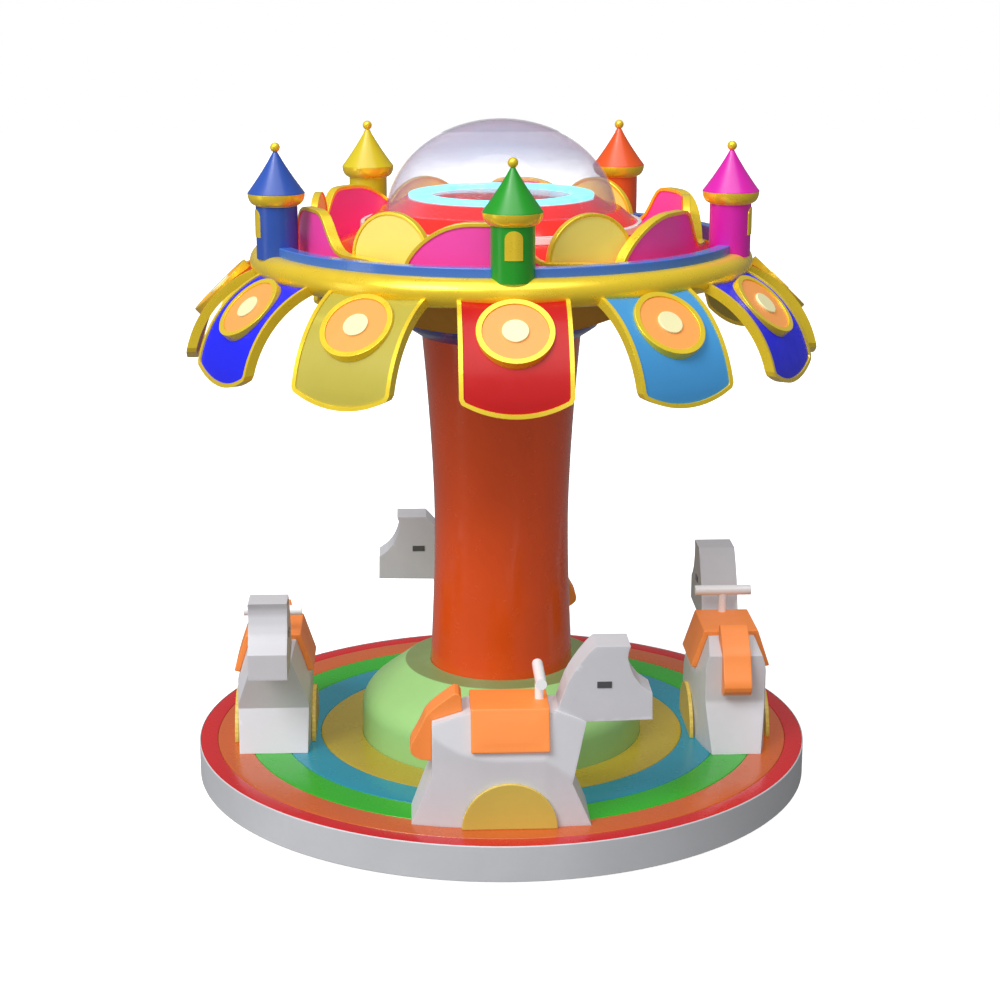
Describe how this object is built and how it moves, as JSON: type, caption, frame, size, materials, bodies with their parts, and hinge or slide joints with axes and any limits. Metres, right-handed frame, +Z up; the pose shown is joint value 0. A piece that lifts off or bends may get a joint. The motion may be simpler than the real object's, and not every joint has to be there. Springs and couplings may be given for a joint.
{
  "type": "merry go round",
  "caption": "Powered soft-play merry go round: padded turntable, foam horses with handlebars, flared column and petal canopy with turrets, wavy crown and clear dome",
  "frame": {"origin": "centre of the turntable on the floor, where the feet stand", "axes": "+Z up; -Y is the side of the front horse and the green turret; the front horse faces +X"},
  "size_m": [2.4, 2.3996, 2.5443],
  "materials": {
    "frame_steel": "satin grey paint",
    "foot_rubber": "matt black rubber",
    "bearing_steel": "ground steel, oiled",
    "motor_paint": "semi-gloss dark paint",
    "box_plastic": "fine matt moulding",
    "roller_tyre": "solid polyurethane tyre",
    "plywood": "clear sealed",
    "vinyl_white": "soft satin vinyl over foam",
    "vinyl_red": "soft satin vinyl over foam",
    "vinyl_orange": "soft satin vinyl over foam",
    "vinyl_green": "soft satin vinyl over foam",
    "vinyl_teal": "soft satin vinyl over foam",
    "vinyl_yellow": "soft satin vinyl over foam",
    "vinyl_mint": "soft satin vinyl over foam",
    "vinyl_tan": "soft satin vinyl over foam",
    "column_gloss": "polished gel coat",
    "navy_gloss": "polished gel coat",
    "gold_gloss": "polished gold gel coat",
    "blue_gloss": "polished gel coat",
    "red_gloss": "polished gel coat",
    "white_gloss": "polished gel coat",
    "pink_gloss": "polished gel coat",
    "cream_yellow_gloss": "polished gel coat",
    "light_diffuser": "lit translucent diffuser",
    "dome_clear": "clear blown acrylic",
    "turret_green": "polished gel coat",
    "turret_magenta": "polished gel coat",
    "turret_orange": "polished gel coat",
    "turret_yellow": "polished gel coat",
    "turret_blue": "polished gel coat",
    "petal_sky": "polished gel coat",
    "petal_royal": "polished gel coat",
    "petal_yellow": "polished gel coat",
    "petal_green": "polished gel coat",
    "medallion_orange": "polished gel coat",
    "medallion_cream": "polished gel coat",
    "eye_grey": "smooth dark moulding"
  },
  "bodies": {
    "base": {"base_frame": "frame_steel", "rubber_feet": "foot_rubber", "slewing_inner_ring": "bearing_steel", "gear_motor": "motor_paint", "roller_mounts": "frame_steel", "control_box": "box_plastic", "slip_ring": "box_plastic"},
    "pinion": {"drive_pinion": "bearing_steel"},
    "roller_body_1": {"roller_1": "roller_tyre"},
    "roller_body_2": {"roller_2": "roller_tyre"},
    "roller_body_3": {"roller_3": "roller_tyre"},
    "roller_body_4": {"roller_4": "roller_tyre"},
    "turntable": {"ring_gear": "bearing_steel", "turntable_frame": "frame_steel", "deck_board": "plywood", "skirt": "vinyl_white", "pad_red": "vinyl_red", "pad_orange": "vinyl_orange", "pad_green": "vinyl_green", "pad_teal": "vinyl_teal", "pad_yellow": "vinyl_yellow", "mound": "vinyl_mint", "mast": "frame_steel", "column_shell": "column_gloss", "canopy_frame": "frame_steel", "collar": "navy_gloss", "canopy_dish": "gold_gloss", "rim_tube": "gold_gloss", "rim_band": "blue_gloss", "canopy_floor": "red_gloss", "riser_ring": "white_gloss", "crown_panels": "pink_gloss", "crown_trims": "gold_gloss", "crown_discs": "cream_yellow_gloss", "crown_disc_rims": "gold_gloss", "light_ring": "light_diffuser", "dome": "dome_clear", "turret_green": "turret_green", "turret_magenta": "turret_magenta", "turret_orange": "turret_orange", "turret_yellow": "turret_yellow", "turret_blue": "turret_blue", "turret_collars": "gold_gloss", "turret_balls": "gold_gloss", "turret_windows": "gold_gloss", "petal_panels_red": "red_gloss", "petal_panels_sky": "petal_sky", "petal_panels_royal": "petal_royal", "petal_panels_yellow": "petal_yellow", "petal_panels_green": "petal_green", "petal_frames": "gold_gloss", "medallion_rings": "gold_gloss", "medallion_discs": "medallion_orange", "medallion_buttons": "medallion_cream", "horse_bodies": "vinyl_white", "saddles": "vinyl_orange", "tails": "vinyl_orange", "side_discs": "vinyl_tan", "handlebars": "white_gloss", "eyes": "eye_grey"}
  },
  "joints": [
    {"name": "turntable_spin", "type": "hinge", "parent": "base", "child": "turntable", "pos_m": [0, 0, 0.07], "axis": [0, 0, 1], "continuous": true},
    {"name": "pinion_spin", "type": "hinge", "parent": "base", "child": "pinion", "pos_m": [0.27, 0, 0.07], "axis": [0, 0, 1], "continuous": true},
    {"name": "roller_1_spin", "type": "hinge", "parent": "base", "child": "roller_body_1", "pos_m": [0.746, -0.746, 0.0607], "axis": [0.7071, -0.7071, 0], "continuous": true},
    {"name": "roller_2_spin", "type": "hinge", "parent": "base", "child": "roller_body_2", "pos_m": [0.746, 0.746, 0.0607], "axis": [0.7071, 0.7071, 0], "continuous": true},
    {"name": "roller_3_spin", "type": "hinge", "parent": "base", "child": "roller_body_3", "pos_m": [-0.746, 0.746, 0.0607], "axis": [-0.7071, 0.7071, 0], "continuous": true},
    {"name": "roller_4_spin", "type": "hinge", "parent": "base", "child": "roller_body_4", "pos_m": [-0.746, -0.746, 0.0607], "axis": [-0.7071, -0.7071, 0], "continuous": true}
  ],
  "couplings": [
    {"joint": "pinion_spin", "follows": "turntable_spin", "ratio": -4},
    {"joint": "roller_1_spin", "follows": "turntable_spin", "ratio": -55.526},
    {"joint": "roller_2_spin", "follows": "turntable_spin", "ratio": -55.526},
    {"joint": "roller_3_spin", "follows": "turntable_spin", "ratio": -55.526},
    {"joint": "roller_4_spin", "follows": "turntable_spin", "ratio": -55.526}
  ]
}
